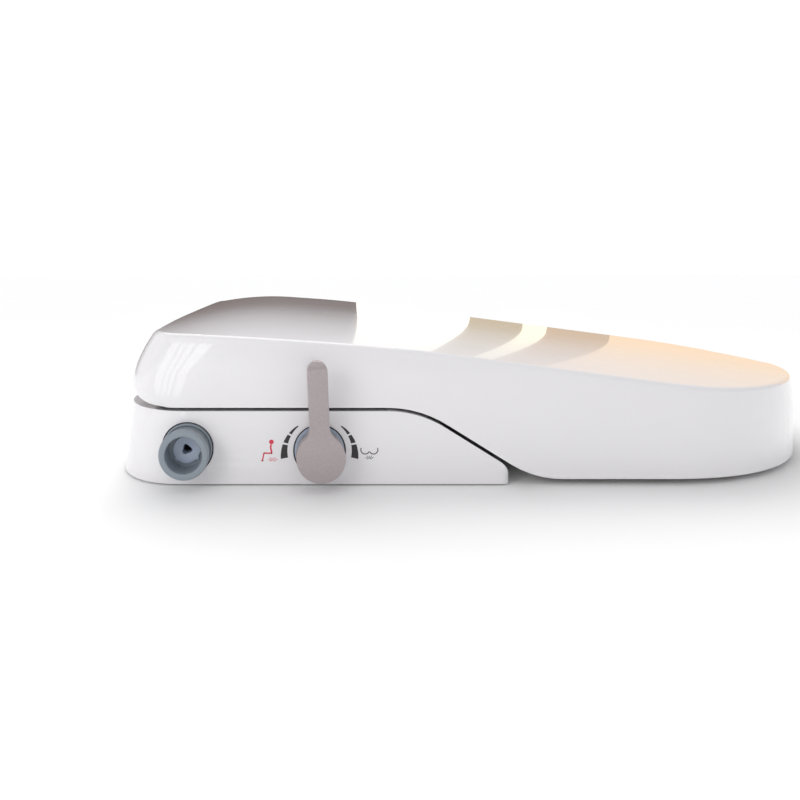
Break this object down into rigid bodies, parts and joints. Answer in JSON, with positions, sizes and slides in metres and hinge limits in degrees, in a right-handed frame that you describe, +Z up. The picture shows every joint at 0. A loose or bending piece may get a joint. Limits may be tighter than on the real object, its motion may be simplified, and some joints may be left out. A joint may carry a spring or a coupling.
{
  "type": "bidet seat",
  "caption": "Water-powered bidet seat: a base with a side lever valve, water inlet and spring-return wash nozzles, carrying a hinged seat ring and a domed lid.",
  "frame": {"origin": "midway between the two bowl bolts, on the plane of the bowl rim", "axes": "+X towards the front of the seat, +Z up, the lever and water inlet on the -Y side"},
  "size_m": [0.505, 0.3968, 0.1008],
  "materials": {
    "white_plastic": "glossy white moulded polypropylene",
    "seat_plastic": "glossy white moulded polypropylene, fine polish",
    "inner_plastic": "matt white moulded plastic",
    "grey_plastic": "satin blue-grey moulded plastic",
    "pale_grey_plastic": "satin pale grey moulded plastic",
    "dark_plastic": "dark grey acetal",
    "lever_coating": "satin champagne-silver coating",
    "steel": "stainless steel",
    "brass": "machined brass",
    "ceramic": "lapped alumina ceramic",
    "rubber": "black rubber",
    "pale_rubber": "pale grey silicone rubber",
    "hose_plastic": "translucent-looking polyethylene tube"
  },
  "bodies": {
    "base": {"base_housing": "white_plastic", "bottom_cover": "inner_plastic", "anti_slip_pads": "pale_rubber", "housing_screws": "steel", "mounting_bracket": "inner_plastic", "hinge_post_lever_side": "white_plastic", "hinge_post_plain_side": "white_plastic", "hinge_post_screws": "steel", "seat_damper_body": "dark_plastic", "lid_damper_body": "dark_plastic", "lid_pivot_pin": "steel", "seat_pivot_pin": "steel", "lever_bezel": "dark_plastic", "valve_bonnet": "brass", "valve_body": "brass", "ceramic_fixed_disc": "ceramic", "inlet_socket": "grey_plastic", "inlet_collar": "grey_plastic", "inlet_check_valve": "pale_grey_plastic", "inlet_filter": "steel", "inlet_o_ring": "rubber", "inlet_elbow": "grey_plastic", "inlet_clip": "steel", "supply_pipe": "hose_plastic", "hose_clamps": "steel", "nozzle_cradle": "inner_plastic", "cradle_screws": "steel", "barrel_strap": "inner_plastic", "release_button_spring": "steel", "rear_wash_hose": "hose_plastic", "rear_wash_barrel": "pale_grey_plastic", "rear_wash_gland": "grey_plastic", "rear_wash_spring": "steel", "front_wash_hose": "hose_plastic", "front_wash_barrel": "pale_grey_plastic", "front_wash_gland": "grey_plastic", "front_wash_spring": "steel"},
    "seat": {"seat_top_shell": "seat_plastic", "seat_bottom_shell": "inner_plastic", "seat_screws": "steel", "seat_bumpers": "pale_rubber", "seat_damper_shaft": "steel"},
    "lid": {"lid_shell": "white_plastic", "lid_bumpers": "pale_rubber", "lid_damper_shaft": "steel"},
    "flow_lever": {"lever": "lever_coating", "lever_grub_screw": "steel", "ceramic_rotor_disc": "ceramic", "spindle": "brass", "spindle_o_rings": "rubber"},
    "rear_wash_nozzle_slide": {"rear_wash_nozzle": "steel", "rear_wash_tip": "steel", "rear_wash_piston_seal": "rubber"},
    "front_wash_nozzle_slide": {"front_wash_nozzle": "steel", "front_wash_tip": "steel", "front_wash_piston_seal": "rubber"},
    "guard_flap": {"nozzle_guard": "white_plastic"},
    "button": {"release_button": "grey_plastic"}
  },
  "joints": [
    {"name": "seat_hinge", "type": "hinge", "parent": "base", "child": "seat", "pos_m": [-0.05, 0, 0.06], "axis": [0, -1, 0], "range_deg": [0, 100]},
    {"name": "lid_hinge", "type": "hinge", "parent": "seat", "child": "lid", "pos_m": [-0.05, 0, 0.06], "axis": [0, 1, 0], "range_deg": [-108, 0]},
    {"name": "lever_turn", "type": "hinge", "parent": "base", "child": "flow_lever", "pos_m": [0.0498, -0.19, 0.0207], "axis": [0, 1, 0], "range_deg": [-90, 90]},
    {"name": "rear_wash_extend", "type": "slide", "parent": "base", "child": "rear_wash_nozzle_slide", "axis": [0.9511, 0, -0.309], "range_m": [0, 0.044], "stiffness_N_per_m": 30, "springref_m": -0.02, "deforming": ["rear_wash_spring"]},
    {"name": "front_wash_extend", "type": "slide", "parent": "base", "child": "front_wash_nozzle_slide", "axis": [0.9511, 0, -0.309], "range_m": [0, 0.044], "stiffness_N_per_m": 30, "springref_m": -0.02, "deforming": ["front_wash_spring"]},
    {"name": "guard_swing", "type": "hinge", "parent": "base", "child": "guard_flap", "pos_m": [0.0655, 0, 0.031], "axis": [0, -1, 0], "range_deg": [0, 75]},
    {"name": "button_press", "type": "slide", "parent": "base", "child": "button", "axis": [0, -1, 0], "range_m": [0, 0.004], "stiffness_N_per_m": 800, "springref_m": -0.004, "deforming": ["release_button_spring"]}
  ]
}
